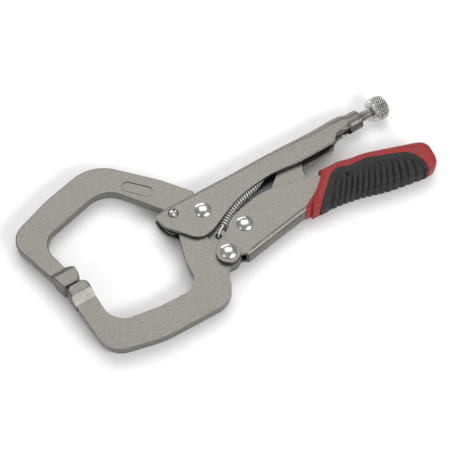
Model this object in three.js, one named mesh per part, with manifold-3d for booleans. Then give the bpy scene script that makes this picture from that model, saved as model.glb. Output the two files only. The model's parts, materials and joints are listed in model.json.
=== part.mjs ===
// Locking C-clamp pliers, lying on one side with the jaws closed and the handles locked.
// Millimetres. While the parts are drawn, the main pivot is the origin, X runs along the
// upper handle towards the adjusting knob, Y points out of the handle's back and Z is the
// thickness, with the tool's middle plane at zero. The finished group is moved so that the
// origin is under the middle of the tool, on the surface that it lies on.
import * as THREE from 'three';
import { mergeVertices } from 'three/addons/utils/BufferGeometryUtils.js';
import Module from 'manifold-3d';

const wasm = await Module();
wasm.setup();

// Thicknesses across the tool.
const GAP = 0.3; // running and assembly clearance
const JAW_HALF = 4; // forged jaw plates
const PAD_HALF = 8.7; // clamping pads
const CHANNEL_HALF = 7; // outside of the pressed channels
const WALL = 2.7; // sheet thickness of the channels
const CHANNEL_INNER = CHANNEL_HALF - WALL;
const LINK_HALF = 2.8; // toggle link
const GRIP_HALF = 9.8; // red sleeve
const OVERMOULD_HALF = 10.5; // black ribbed cover
const OVERMOULD_SKIN = 1.6;
const BEYOND = 30; // reaches past everything, for cuts

// Pivots.
const MAIN_PIVOT = [0, 0];
const LINK_PIVOT = [19, -24.2];
const JAW_PIVOT = [-1.85, -36.8];
const LINK_END = [77, 7.1];
const STAKE = [-18.8, 8.3];
const SPRING_HOLE = [-0.3, -21.2];
const SHANK_RADIUS = 3.6;
const PIVOT_HOLE = SHANK_RADIUS + GAP;
const RIVET_HEAD_RADIUS = 5.8;
const RIVET_HEAD_HEIGHT = 2.4;
const STAKE_RADIUS = 3.3;
const SPRING_HOLE_RADIUS = 2.4;

// Adjusting screw, M8 x 1.25, on the axis of the tube at the end of the upper handle.
const SCREW_Y = 8.3;
const SCREW_RADIUS = 4;
const SCREW_BORE = SCREW_RADIUS + GAP;
const SCREW_TIP_X = 85.7;
const SCREW_END_X = 153;
const TUBE_RADIUS = 7;
const TUBE_START_X = 118;
const TUBE_END_X = 136.6;
const KNOB_START_X = 147;
const KNOB_LENGTH = 12.6;
const KNOB_RADIUS = 9;

// Tension spring.
const COIL_RADIUS = 2.3;
const COIL_WIRE = 0.5;
const COIL_TURNS = 24;

const ARC_STEP = THREE.MathUtils.degToRad(13);

const SATIN_NICKEL = new THREE.MeshStandardMaterial({ color: 0xa5a39a, roughness: 0.42, metalness: 0.85 });
const POLISHED_STEEL = new THREE.MeshStandardMaterial({ color: 0xc4c2bd, roughness: 0.22, metalness: 0.95 });
const SPRING_STEEL = new THREE.MeshStandardMaterial({ color: 0xb9b8b4, roughness: 0.3, metalness: 0.9 });
const RED_PLASTIC = new THREE.MeshStandardMaterial({ color: 0x9b3432, roughness: 0.55, metalness: 0 });
const BLACK_RUBBER = new THREE.MeshStandardMaterial({ color: 0x2d2c2b, roughness: 0.7, metalness: 0 });

// Points along an arc about a known centre, angles in degrees.
function arc([cx, cy], radius, from, to) {
  const start = THREE.MathUtils.degToRad(from);
  const sweep = THREE.MathUtils.degToRad(to) - start;
  const steps = Math.ceil(Math.abs(sweep) / ARC_STEP);
  const points = [];
  for (let i = 0; i <= steps; i++) {
    const angle = start + (sweep * i) / steps;
    points.push([cx + radius * Math.cos(angle), cy + radius * Math.sin(angle)]);
  }
  return points;
}

// Turns corners [x, y, radius] into an outline; a radius rounds its corner with an arc.
function outline(corners) {
  const points = [];
  corners.forEach(([x, y, radius = 0], i) => {
    const here = new THREE.Vector2(x, y);
    if (radius === 0) {
      points.push(here);
      return;
    }
    const back = new THREE.Vector2(...corners.at(i - 1)).sub(here).normalize();
    const ahead = new THREE.Vector2(...corners[(i + 1) % corners.length]).sub(here).normalize();
    const half = Math.acos(THREE.MathUtils.clamp(back.dot(ahead), -1, 1)) / 2;
    const middle = back.clone().add(ahead).normalize();
    const centre = here.clone().addScaledVector(middle, radius / Math.sin(half));
    const first = here.clone().addScaledVector(back, radius / Math.tan(half)).sub(centre);
    const sweep = (Math.PI - 2 * half) * Math.sign(ahead.cross(back));
    const steps = Math.max(2, Math.ceil(Math.abs(sweep) / ARC_STEP));
    for (let k = 0; k <= steps; k++) {
      const spoke = first.clone().rotateAround(new THREE.Vector2(), (sweep * k) / steps);
      points.push(centre.clone().add(spoke));
    }
  });
  return points;
}

// Moves every corner of an outline outwards by a distance; the corners run anticlockwise.
function grown(corners, distance) {
  return corners.map(([x, y, radius = 0], i) => {
    const here = new THREE.Vector2(x, y);
    const back = here.clone().sub(new THREE.Vector2(...corners.at(i - 1))).normalize();
    const ahead = new THREE.Vector2(...corners[(i + 1) % corners.length]).sub(here).normalize();
    const normal = new THREE.Vector2(back.y + ahead.y, -back.x - ahead.x).normalize();
    const reach = distance / Math.max(0.3, normal.x * back.y - normal.y * back.x);
    const turn = Math.sign(back.cross(ahead));
    return [x + normal.x * reach, y + normal.y * reach, Math.max(0, radius + turn * distance)];
  });
}

// A closed three.js geometry as a solid for joining and cutting.
function solid(geometry) {
  const bare = geometry.index ? geometry.toNonIndexed() : geometry.clone();
  bare.deleteAttribute('normal');
  bare.deleteAttribute('uv');
  const merged = mergeVertices(bare, 1e-4);
  const vertProperties = new Float32Array(merged.attributes.position.array);
  const triVerts = new Uint32Array(merged.index.array);
  return new wasm.Manifold(new wasm.Mesh({ numProp: 3, vertProperties, triVerts }));
}

// A solid back as a geometry with its own normals.
function geometryOf(shape) {
  const mesh = shape.getMesh();
  const geometry = new THREE.BufferGeometry();
  geometry.setAttribute('position', new THREE.BufferAttribute(mesh.vertProperties.slice(), 3));
  geometry.setIndex(new THREE.BufferAttribute(mesh.triVerts.slice(), 1));
  geometry.computeVertexNormals();
  return geometry;
}

// A plate of the given outline, from -half to +half in Z.
function plate(corners, half) {
  const shape = new THREE.Shape(outline(corners));
  const geometry = new THREE.ExtrudeGeometry(shape, { depth: 2 * half, bevelEnabled: false });
  return solid(geometry.translate(0, 0, -half));
}

// A bar along X from x0 to x1, with its section given in Y and Z.
function bar(sectionYZ, x0, x1) {
  const shape = new THREE.Shape(outline(sectionYZ));
  const geometry = new THREE.ExtrudeGeometry(shape, { depth: x1 - x0, bevelEnabled: false });
  const turn = new THREE.Matrix4().makeBasis(
    new THREE.Vector3(0, 1, 0),
    new THREE.Vector3(0, 0, 1),
    new THREE.Vector3(1, 0, 0),
  );
  return solid(geometry.applyMatrix4(turn).translate(x0, 0, 0));
}

// A turned piece about Z through a pivot; the profile is [radius, z] from axis to axis.
function turnedZ(profile, [x, y], sides = 24) {
  const points = profile.map(([radius, z]) => new THREE.Vector2(radius, z));
  const geometry = new THREE.LatheGeometry(points, sides);
  return solid(geometry.rotateX(Math.PI / 2).translate(x, y, 0));
}

// A turned piece about the screw's axis; the profile is [radius, x] from axis to axis.
function turnedX(profile, sides = 28) {
  const points = profile.map(([radius, x]) => new THREE.Vector2(radius, x));
  const geometry = new THREE.LatheGeometry(points, sides);
  return solid(geometry.rotateZ(-Math.PI / 2).translate(0, SCREW_Y, 0));
}

function pinHole(pivot, radius) {
  return turnedZ([[0, -BEYOND], [radius, -BEYOND], [radius, BEYOND], [0, BEYOND]], pivot);
}

function screwHole(x0, x1) {
  return turnedX([[0, x0], [SCREW_BORE, x0], [SCREW_BORE, x1], [0, x1]]);
}

// The pad at a jaw's end: thick at the clamping face, ramped down to the arm in Y.
function pad(corners, faceY, rampY, armY) {
  const section = [
    [faceY, PAD_HALF],
    [rampY, PAD_HALF],
    [armY, JAW_HALF],
    [armY, -JAW_HALF],
    [rampY, -PAD_HALF],
    [faceY, -PAD_HALF],
  ];
  const ordered = faceY < armY ? section.reverse() : section;
  return plate(corners, PAD_HALF).intersect(bar(ordered, -BEYOND * 5, 0));
}

function fixedJaw() {
  const arm = plate([
    [2.5, 18.2, 1.2],
    [-12, 37.8, 60],
    [-47, 75, 30],
    [-88, 65.4, 80],
    [-126, 51.4, 15],
    [-112.5, 5],
    [-103, 5],
    [-101.8, 11],
    [-107.8, 38, 14],
    [-49.9, 52.9, 21],
    [-22.6, 15.6, 3],
    [-25.6, 8, 4],
    [-24.4, -1, 3],
    [-21, -3.4, 1],
    ...arc(MAIN_PIVOT, 11.6, 195, 92),
    [2.5, 11.6],
  ], JAW_HALF);
  const padBody = pad([
    [-113.6, 13, 1],
    [-112.9, 6.5, 3],
    [-111, -2.4, 3],
    [-97, -2.4, 4.2],
    [-96.6, 9.4, 4.5],
    [-102, 13, 1],
  ], -2.4, 7, 12);
  const flashRidge = plate([
    [-23.5, 14],
    [-29.4, 9.4, 1.5],
    [-28.6, 2.4, 3],
    [-26.2, -3, 2],
    [-21.8, -3.2],
    [-21.8, 6],
  ], 0.7);
  const badge = plate([
    [-38, 44.9, 3.5],
    [-23.5, 29.3, 3.5],
    [-18.4, 34.1, 3.5],
    [-32.9, 49.7, 3.5],
  ], 1).translate([0, 0, JAW_HALF + 0.4]);
  return arm
    .add(padBody)
    .add(flashRidge)
    .subtract(badge)
    .subtract(pinHole(STAKE, STAKE_RADIUS + GAP));
}

function movingJaw() {
  const body = plate([
    ...arc(MAIN_PIVOT, 10.5, 215, -60),
    [4.9, -14],
    [5.4, -23, 4],
    ...arc(JAW_PIVOT, 9.2, 10, -100),
    [-6.5, -46.6, 2],
    [-10.6, -51, 3],
    [-9.8, -68.4, 18],
    [-70, -67.4, 70],
    [-107, -58.4, 17],
    [-109.6, -12],
    [-94.6, -12],
    [-94.2, -41.2, 16],
    [-60, -46.6, 60],
    [-30, -47.2, 12],
    [-30.2, -29, 40],
    [-22.6, -4.6, 2],
  ], JAW_HALF);
  const padBody = pad([
    [-110, -18],
    [-110.2, -2.8, 4.2],
    [-94, -2.8, 5],
    [-94.7, -18],
  ].reverse(), -2.8, -11.5, -17.6);
  const recess = turnedZ([[0, 2.2], [8.4, 2.2], [8.4, BEYOND], [0, BEYOND]], [1.2, -20]);
  const farRecess = turnedZ([[0, -BEYOND], [8.4, -BEYOND], [8.4, -2.2], [0, -2.2]], [1.2, -20]);
  return body
    .add(padBody)
    .subtract(recess)
    .subtract(farRecess)
    .subtract(pinHole(MAIN_PIVOT, PIVOT_HOLE))
    .subtract(pinHole(JAW_PIVOT, PIVOT_HOLE))
    .subtract(pinHole(SPRING_HOLE, SPRING_HOLE_RADIUS));
}

function upperHandle() {
  const side = plate([
    [-30.3, 14.8, 1.5],
    [-30.2, 6.2, 10],
    [-11.3, -21.2, 15.7],
    [34.5, -0.5, 95],
    [60, -0.5, 25],
    [79, -3, 4],
    [108.6, -2.4, 3],
    [113.6, 3.2, 4],
    [126, 3.2],
    [128, 15.2, 3],
    [119, 17.4, 12],
    [100, 16.2, 30],
    [50, 16.2, 60],
  ], CHANNEL_HALF);
  const section = bar([
    [-BEYOND, -CHANNEL_HALF],
    [17.4, -CHANNEL_HALF, 4.4],
    [17.4, CHANNEL_HALF, 4.4],
    [-BEYOND, CHANNEL_HALF],
  ], -2 * BEYOND, 5 * BEYOND);
  const tube = turnedX([[0, TUBE_START_X], [TUBE_RADIUS, TUBE_START_X], [TUBE_RADIUS, TUBE_END_X], [0, TUBE_END_X]]);
  const cavity = plate([
    [-2 * BEYOND, -2 * BEYOND],
    [122, -2 * BEYOND],
    [122, 16.2 - WALL, 4],
    [3.4, 16.2 - WALL],
    [3.4, BEYOND],
    [-2 * BEYOND, BEYOND],
  ], CHANNEL_INNER);
  const springTab = plate([[59.5, 9], [61, 9], [61, 14.6], [59.5, 14.6]], 2);
  return side
    .intersect(section)
    .add(tube)
    .subtract(cavity)
    .add(springTab)
    .subtract(screwHole(105, TUBE_END_X + BEYOND))
    .subtract(pinHole(MAIN_PIVOT, PIVOT_HOLE))
    .subtract(pinHole(STAKE, STAKE_RADIUS + GAP));
}

// The lower handle's outline, anticlockwise from the apex of its ears.
const LOWER_HANDLE = [
  [1.5, -25.1, 0.8],
  ...arc(JAW_PIVOT, 8.6, 119, 315),
  [7.2, -43.7, 0.5],
  [8.6, -47.2, 1],
  [66, -37.6, 40],
  [98, -39.6, 40],
  [125, -47.6, 40],
  [150, -50.2, 3],
  [150, -37.2, 3],
  [44.5, -8.6, 45],
  [14, -14.8, 20],
];

function lowerHandle() {
  const cavity = plate([
    [-2 * BEYOND, -3 * BEYOND],
    [8, -3 * BEYOND],
    [8, -44.4],
    [66, -37.6 + WALL, 37.3],
    [98, -39.6 + WALL, 42.7],
    [125, -47.6 + WALL, 37.3],
    [6 * BEYOND, -50.5],
    [6 * BEYOND, BEYOND],
    [-2 * BEYOND, BEYOND],
  ], CHANNEL_INNER);
  return plate(LOWER_HANDLE, CHANNEL_HALF)
    .subtract(cavity)
    .subtract(pinHole(JAW_PIVOT, PIVOT_HOLE))
    .subtract(pinHole(LINK_PIVOT, PIVOT_HOLE));
}

function toggleLink() {
  return plate([
    ...arc(LINK_PIVOT, 7, 115, 290),
    [62, -24.5, 12],
    [77, -18, 4],
    [77.6, -8.5, 10],
    [82.4, 1.5, 3],
    ...arc(LINK_END, 4.6, 0, 115),
    [50, -9, 20],
  ], LINK_HALF).subtract(pinHole(LINK_PIVOT, PIVOT_HOLE));
}

// A rivet through the walls, with a low dome on each side.
function rivet(pivot) {
  const under = CHANNEL_HALF + 0.1;
  const top = under + RIVET_HEAD_HEIGHT;
  const dome = [
    [RIVET_HEAD_RADIUS, under],
    [RIVET_HEAD_RADIUS, under + 0.5],
    [5.1, under + 1.3],
    [3.7, under + 1.95],
    [1.9, under + 2.3],
    [0, top],
  ];
  const below = dome.map(([radius, z]) => [radius, -z]).reverse();
  return turnedZ([...below, [SHANK_RADIUS, -under], [SHANK_RADIUS, under], ...dome], pivot);
}

// The pin that holds the fixed jaw: its ends are punched in, which leaves a dimple.
function stakingPin() {
  return turnedZ([[0, -4.8], [STAKE_RADIUS, -6.7], [STAKE_RADIUS, 6.7], [0, 4.8]], STAKE);
}

function adjustingScrew() {
  return turnedX([
    [0, SCREW_TIP_X],
    [2.2, SCREW_TIP_X + 0.5],
    [3.4, SCREW_TIP_X + 1.6],
    [SCREW_RADIUS, SCREW_TIP_X + 3],
    [SCREW_RADIUS, SCREW_END_X],
    [0, SCREW_END_X],
  ]);
}

function adjustingKnob() {
  const end = KNOB_START_X + KNOB_LENGTH;
  return turnedX([
    [0, SCREW_END_X + GAP],
    [SCREW_BORE, SCREW_END_X + GAP],
    [SCREW_BORE, KNOB_START_X],
    [7.8, KNOB_START_X],
    [8.2, KNOB_START_X + 0.5],
    [8.2, KNOB_START_X + 2],
    [KNOB_RADIUS, KNOB_START_X + 2.5],
    [KNOB_RADIUS, end - 2.6],
    [7.6, end - 1.3],
    [4.4, end - 0.4],
    [0, end],
  ], 32);
}

// The spring's wire: a hook in the moving jaw, the coil on a bowed line, a hook on the tab.
function springWire() {
  const line = new THREE.CatmullRomCurve3([
    new THREE.Vector3(6.2, -15.6, 0),
    new THREE.Vector3(15, -10.3, 0),
    new THREE.Vector3(27, -5.6, 0),
    new THREE.Vector3(43, -0.4, 0),
    new THREE.Vector3(54.5, 7, 0),
  ]);
  const points = [
    new THREE.Vector3(-0.9, -21.6, -0.6),
    new THREE.Vector3(-0.6, -21.4, 1.8),
    new THREE.Vector3(0.8, -20.2, 3.2),
    new THREE.Vector3(3.4, -17.9, 3),
  ];
  const perTurn = 8;
  for (let i = 0; i <= COIL_TURNS * perTurn; i++) {
    const t = i / (COIL_TURNS * perTurn);
    const along = line.getTangentAt(t);
    const side = new THREE.Vector3(-along.y, along.x, 0);
    const angle = (2 * Math.PI * i) / perTurn;
    const spoke = side.multiplyScalar(Math.sin(angle)).setZ(Math.cos(angle));
    points.push(line.getPointAt(t).addScaledVector(spoke, COIL_RADIUS));
  }
  points.push(new THREE.Vector3(57.6, 7.6, 1.4));
  points.push(new THREE.Vector3(60.3, 7.7, 0));
  points.push(new THREE.Vector3(62.1, 9.6, 0));
  return new THREE.CatmullRomCurve3(points);
}

function tensionSpring() {
  const section = new THREE.Shape();
  section.absarc(0, 0, COIL_WIRE, 0, 2 * Math.PI);
  const wire = { steps: COIL_TURNS * 9 + 20, curveSegments: 3, bevelEnabled: false, extrudePath: springWire() };
  return solid(new THREE.ExtrudeGeometry(section, wire));
}

// The grip's side outline; the inset lifts its lower edge, where the overmould wraps round.
function gripOutline(inset) {
  return [
    [64, -41.8 + inset, 1.5],
    [92, -42.6 + inset, 30],
    [128, -52.4 + inset, 25],
    [161.5, -57.4 + inset, 7],
    [165.4, -35.2, 8],
    [116, -18.6, 8],
    [110.5, -18.2, 10],
    [100, -15, 8],
    [86, -15, 1.5],
  ];
}

const PANEL = [
  [69.4, -62],
  [152.6, -62],
  [152.6, -48, 10],
  [147.6, -36.8, 9],
  [116, -24.8, 10],
  [104.5, -24.2, 8],
  [96.6, -20.6, 5],
  [88, -25, 8],
  [69.4, -43.4],
];

function gripOvermould() {
  const core = plate(gripOutline(OVERMOULD_SKIN), OVERMOULD_HALF - OVERMOULD_SKIN);
  return plate(gripOutline(0), OVERMOULD_HALF)
    .intersect(plate(PANEL, BEYOND))
    .subtract(core);
}

function gripSleeve() {
  const core = plate(gripOutline(OVERMOULD_SKIN + GAP), OVERMOULD_HALF - OVERMOULD_SKIN - GAP);
  const seat = plate(grown(PANEL, GAP), BEYOND).subtract(core);
  const handle = plate(grown(LOWER_HANDLE, GAP), CHANNEL_HALF + GAP);
  return plate(gripOutline(0), GRIP_HALF).subtract(seat).subtract(handle);
}

const group = new THREE.Group();

function addPart(name, shape, material) {
  const mesh = new THREE.Mesh(geometryOf(shape), material);
  mesh.name = name;
  group.add(mesh);
}

addPart('upper_handle', upperHandle(), SATIN_NICKEL);
addPart('fixed_jaw', fixedJaw(), SATIN_NICKEL);
addPart('jaw_staking_pin', stakingPin(), POLISHED_STEEL);
addPart('main_pivot_rivet', rivet(MAIN_PIVOT), POLISHED_STEEL);
addPart('moving_jaw', movingJaw(), SATIN_NICKEL);
addPart('jaw_pivot_rivet', rivet(JAW_PIVOT), POLISHED_STEEL);
addPart('lower_handle', lowerHandle(), SATIN_NICKEL);
addPart('link_pivot_rivet', rivet(LINK_PIVOT), POLISHED_STEEL);
addPart('toggle_link', toggleLink(), SATIN_NICKEL);
addPart('tension_spring', tensionSpring(), SPRING_STEEL);
addPart('adjusting_screw', adjustingScrew(), POLISHED_STEEL);
addPart('adjusting_knob', adjustingKnob(), POLISHED_STEEL);
addPart('grip_sleeve', gripSleeve(), RED_PLASTIC);
addPart('grip_overmould', gripOvermould(), BLACK_RUBBER);

// The origin goes under the middle of the tool.
const box = new THREE.Box3().setFromObject(group);
const middle = box.getCenter(new THREE.Vector3());
group.position.set(-middle.x, -middle.y, -box.min.z);
group.updateMatrixWorld(true);

export default group;
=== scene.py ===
"""Locking C-clamp pliers lying on one side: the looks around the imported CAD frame.

Shapes are drawn in millimetres in the tool's own plane, with the main pivot as the origin,
X along the upper handle, Y out of its back and Z across the thickness. put_away() then
moves each piece into the frame, in metres.
"""
import json
import math

import bmesh
import bpy
import numpy as np
from mathutils import Matrix, Vector


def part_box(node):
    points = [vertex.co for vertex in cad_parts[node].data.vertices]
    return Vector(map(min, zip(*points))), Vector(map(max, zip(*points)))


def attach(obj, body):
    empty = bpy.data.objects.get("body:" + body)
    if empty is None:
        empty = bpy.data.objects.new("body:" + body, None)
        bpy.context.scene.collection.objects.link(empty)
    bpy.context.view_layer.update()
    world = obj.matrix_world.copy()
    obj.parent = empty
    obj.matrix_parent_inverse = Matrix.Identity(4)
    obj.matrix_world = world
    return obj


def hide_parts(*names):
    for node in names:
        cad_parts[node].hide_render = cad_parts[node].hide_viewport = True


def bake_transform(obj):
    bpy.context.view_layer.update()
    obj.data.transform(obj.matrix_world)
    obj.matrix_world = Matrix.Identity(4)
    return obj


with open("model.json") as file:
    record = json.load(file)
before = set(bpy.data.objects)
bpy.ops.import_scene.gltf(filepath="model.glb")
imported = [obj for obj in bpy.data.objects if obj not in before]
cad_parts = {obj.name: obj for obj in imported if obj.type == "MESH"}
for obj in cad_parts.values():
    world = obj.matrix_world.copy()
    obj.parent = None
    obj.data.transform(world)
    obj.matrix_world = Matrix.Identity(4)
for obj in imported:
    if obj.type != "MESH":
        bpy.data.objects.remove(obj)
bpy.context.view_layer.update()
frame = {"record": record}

MM = 0.001

# ---------------------------------------------------------------- places from the frame
JOINTS = {joint["name"]: joint for joint in frame["record"]["behaviour"]["joints"]}
PIVOT = Vector(JOINTS["jaw_swing"]["pos_m"])


def tool_point(place):
    """A place in the frame, in metres, as X and Y in the tool's plane in millimetres."""
    return ((place[0] - PIVOT[0]) / MM, (place[1] - PIVOT[1]) / MM)


MAIN_PIVOT = (0.0, 0.0)
JAW_PIVOT = tool_point(JOINTS["handle_swing"]["pos_m"])
LINK_PIVOT = tool_point(JOINTS["link_swing"]["pos_m"])
SCREW_Y = tool_point(JOINTS["knob_turn"]["pos_m"])[1]
SCREW_TIP = tool_point(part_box("adjusting_screw")[0])[0]
SCREW_END = tool_point(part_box("adjusting_screw")[1])[0]
KNOB_START = tool_point(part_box("adjusting_knob")[0])[0]
KNOB_END = tool_point(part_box("adjusting_knob")[1])[0]
TUBE_END = tool_point(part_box("upper_handle")[1])[0]
MIDDLE_Z = (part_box("upper_handle")[0][2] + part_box("upper_handle")[1][2]) / 2

# ---------------------------------------------------------------- driving sizes, mm
LINK_END = (77.0, 7.1)
STAKE = (-18.8, 8.3)  # the pin that holds the fixed jaw
SPRING_HOLE = (-0.3, -21.2)
JAW_HALF = 4.0  # half of a jaw's thickness, and so on for the other halves
JAW_EDGE = 1.1  # the round along a jaw's rims
PAD_HALF = 8.7
PAD_EDGE = 1.9
CHANNEL_HALF = 7.0
WALL = 2.7
CHANNEL_INNER = CHANNEL_HALF - WALL
CHANNEL_ROOF = 13.2  # where the upper handle's cavity ends under its back
LINK_HALF = 2.8
GRIP_HALF = 9.55
PIVOT_HOLE = 3.9
EAR_RAISED = 0.6  # how far the lower handle's ears stand out round the jaw's rivet
RIVET_RADIUS = 5.8
RIVET_HEIGHT = 2.45
SHANK_RADIUS = 3.6
HANDLE_FRONT = -30.3
TUBE_START = 128.0
TUBE_LOW = SCREW_Y - CHANNEL_HALF
TUBE_HIGH = SCREW_Y + CHANNEL_HALF
TUBE_BORE = 4.3
THREAD_RADIUS = 4.0
THREAD_DEPTH = 1.0
PITCH = 1.25
KNOB_RADIUS = 9.0
KNURLS = 28
WIRE_RADIUS = 0.5
COIL_RADIUS = 2.8
COIL_TURNS = 25
BEYOND = 60.0  # past the end of anything that a tool cuts


# ---------------------------------------------------------------- outlines
def arc(centre, radius, start, stop, step=6.0):
    """Points along an arc about a known centre; the angles are in degrees."""
    count = max(2, math.ceil(abs(stop - start) / step))
    angles = [math.radians(start + (stop - start) * i / count) for i in range(count + 1)]
    return [(centre[0] + radius * math.cos(a), centre[1] + radius * math.sin(a)) for a in angles]


def outline(corners, step=6.0):
    """Corners (x, y, radius) as a list of points; a radius rounds its corner with an arc."""
    points = []
    for i, corner in enumerate(corners):
        here = Vector(corner[:2])
        radius = corner[2] if len(corner) > 2 else 0
        if radius == 0:
            points.append(here)
            continue
        back = (Vector(corners[i - 1][:2]) - here).normalized()
        ahead = (Vector(corners[(i + 1) % len(corners)][:2]) - here).normalized()
        half = back.angle(ahead) / 2
        centre = here + (back + ahead).normalized() * radius / math.sin(half)
        first = here + back * radius / math.tan(half) - centre
        turn = 1 if back.x * ahead.y - back.y * ahead.x < 0 else -1
        sweep = (math.pi - 2 * half) * turn
        count = max(2, math.ceil(math.degrees(abs(sweep)) / step))
        for k in range(count + 1):
            spoke = first.copy()
            spoke.rotate(Matrix.Rotation(sweep * k / count, 2))
            points.append(centre + spoke)
    return points


def smooth_line(knots):
    """A function y(x) through the knots: a monotone cubic, flat where the knots turn back."""
    xs = np.array([k[0] for k in knots], float)
    ys = np.array([k[1] for k in knots], float)
    slopes = np.diff(ys) / np.diff(xs)
    tangents = np.empty_like(ys)
    tangents[0] = slopes[0]
    tangents[-1] = slopes[-1]
    same_way = slopes[:-1] * slopes[1:] > 0
    means = 2 * slopes[:-1] * slopes[1:] / np.where(same_way, slopes[:-1] + slopes[1:], 1)
    tangents[1:-1] = np.where(same_way, means, 0)

    def at(x):
        x = np.clip(np.asarray(x, float), xs[0], xs[-1])
        i = np.clip(np.searchsorted(xs, x) - 1, 0, len(xs) - 2)
        width = xs[i + 1] - xs[i]
        t = (x - xs[i]) / width
        rise = (2 * t**3 - 3 * t**2 + 1) * ys[i] + (3 * t**2 - 2 * t**3) * ys[i + 1]
        lean = (t**3 - 2 * t**2 + t) * tangents[i] + (t**3 - t**2) * tangents[i + 1]
        return rise + lean * width

    return at


# ---------------------------------------------------------------- mesh building
def new_object(name, bm):
    mesh = bpy.data.meshes.new(name)
    bmesh.ops.recalc_face_normals(bm, faces=bm.faces)
    bm.to_mesh(mesh)
    bm.free()
    piece = bpy.data.objects.new(name, mesh)
    bpy.context.scene.collection.objects.link(piece)
    return piece


def plate(name, corners, half, edge=0.0, where=None, low=None, segments=4):
    """A plate from low, or -half, to half in Z; the rims that where() accepts are rounded by edge."""
    bm = bmesh.new()
    bottom = -half if low is None else low
    ring = [bm.verts.new((p[0], p[1], bottom)) for p in outline(corners)]
    face = bm.faces.new(ring)
    moved = bmesh.ops.extrude_face_region(bm, geom=[face])["geom"]
    lifted = [v for v in moved if isinstance(v, bmesh.types.BMVert)]
    bmesh.ops.translate(bm, verts=lifted, vec=(0, 0, half - bottom))
    bmesh.ops.recalc_face_normals(bm, faces=bm.faces)
    if edge > 0:
        rims = [e for e in bm.edges if abs(e.verts[0].co.z - e.verts[1].co.z) < 1e-6]
        if where is not None:
            rims = [e for e in rims if where((e.verts[0].co + e.verts[1].co) / 2)]
        bmesh.ops.bevel(
            bm, geom=rims, offset=edge, segments=segments, profile=0.5, affect="EDGES",
            clamp_overlap=True,
        )
    return new_object(name, bm)


def grid_mesh(name, rings, caps=True):
    """A tube through rings of points, one ring after another; caps close the two ends."""
    rings = np.asarray(rings, float)
    count, around = rings.shape[:2]
    points = rings.reshape(-1, 3).tolist()
    faces = []
    for i in range(count - 1):
        for j in range(around):
            k = (j + 1) % around
            faces.append((i * around + j, i * around + k, (i + 1) * around + k, (i + 1) * around + j))
    if caps:
        faces.append(tuple(reversed(range(around))))
        faces.append(tuple(range((count - 1) * around, count * around)))
    mesh = bpy.data.meshes.new(name)
    mesh.from_pydata(points, [], faces)
    bm = bmesh.new()
    bm.from_mesh(mesh)
    bmesh.ops.remove_doubles(bm, verts=bm.verts, dist=1e-5)
    return new_object(name, bm)


def turned(name, profile, centre=(0.0, 0.0), sides=64, along_x=False):
    """A turned piece; the profile is (radius, place along the axis), from axis to axis."""
    angles = np.linspace(0, 2 * math.pi, sides, endpoint=False)
    rings = []
    for radius, place in profile:
        c, s = radius * np.cos(angles), radius * np.sin(angles)
        if along_x:
            rings.append(np.stack([np.full(sides, place), centre[1] + c, s], axis=1))
        else:
            rings.append(np.stack([centre[0] + c, centre[1] + s, np.full(sides, place)], axis=1))
    return grid_mesh(name, rings)


def boolean(piece, tools, kind, cut_face_shade=None):
    """Joins or cuts; a cut gives its new faces the painted shade material, if one is given."""
    for tool in tools:
        if cut_face_shade is not None:
            if not piece.data.materials:
                piece.data.materials.append(NICKEL)
            tool.data.materials.append(cut_face_shade)
        change = piece.modifiers.new(kind.lower(), "BOOLEAN")
        change.operation = kind
        change.object = tool
        change.solver = "EXACT"
        change.material_mode = "INDEX" if cut_face_shade is None else "TRANSFER"
        apply_modifiers(piece)
        bpy.data.objects.remove(tool)


def apply_modifiers(piece):
    bpy.context.view_layer.update()
    view = bpy.context.evaluated_depsgraph_get()
    mesh = bpy.data.meshes.new_from_object(piece.evaluated_get(view))
    piece.modifiers.clear()
    piece.data = mesh


def soften(piece, width, segments=2, angle=32.0):
    """Breaks the sharp edges that are left, as tumbling and plating do."""
    bevel = piece.modifiers.new("soften", "BEVEL")
    bevel.width = width
    bevel.segments = segments
    bevel.limit_method = "ANGLE"
    bevel.angle_limit = math.radians(angle)
    bevel.use_clamp_overlap = True
    bevel.miter_outer = "MITER_ARC"
    apply_modifiers(piece)


def put_away(piece, body, material, slot, *nodes, smooth=38.0):
    """Moves a finished piece into the frame, hides the parts it stands in for and hangs it on what it
    rides on.
    """
    place(piece, material, slot, *nodes, smooth=smooth)
    weighted = piece.modifiers.new("normals", "WEIGHTED_NORMAL")
    weighted.keep_sharp = True
    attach(piece, body)


def place(piece, material, slot, *nodes, smooth=38.0):
    """From the tool's plane to the frame; faces that meet above the smooth angle stay crisp."""
    move = Matrix.Translation((PIVOT.x, PIVOT.y, MIDDLE_Z)) @ Matrix.Scale(MM, 4)
    piece.data.transform(move)
    piece.data.update()
    # Pieces cut with the painted shade keep it on their cavity faces.
    if PAINTED_SHADE not in list(piece.data.materials):
        piece.data.materials.clear()
        piece.data.materials.append(material)
    piece.data.shade_smooth()
    piece.data.set_sharp_from_angle(angle=math.radians(smooth))
    if nodes:
        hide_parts(*nodes)


# ---------------------------------------------------------------- materials
def node_material(name):
    material = bpy.data.materials.new(name)
    material.use_nodes = True
    shader = material.node_tree.nodes["Principled BSDF"]
    return material, material.node_tree, shader


def object_noise(tree, scale, detail=3.0, roughness=0.6, stretch=None):
    place = tree.nodes.new("ShaderNodeTexCoord")
    noise = tree.nodes.new("ShaderNodeTexNoise")
    noise.inputs["Scale"].default_value = scale
    noise.inputs["Detail"].default_value = detail
    noise.inputs["Roughness"].default_value = roughness
    if stretch is None:
        tree.links.new(place.outputs["Object"], noise.inputs["Vector"])
        return noise
    mapping = tree.nodes.new("ShaderNodeMapping")
    mapping.inputs["Scale"].default_value = stretch
    tree.links.new(place.outputs["Object"], mapping.inputs["Vector"])
    tree.links.new(mapping.outputs["Vector"], noise.inputs["Vector"])
    return noise


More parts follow.
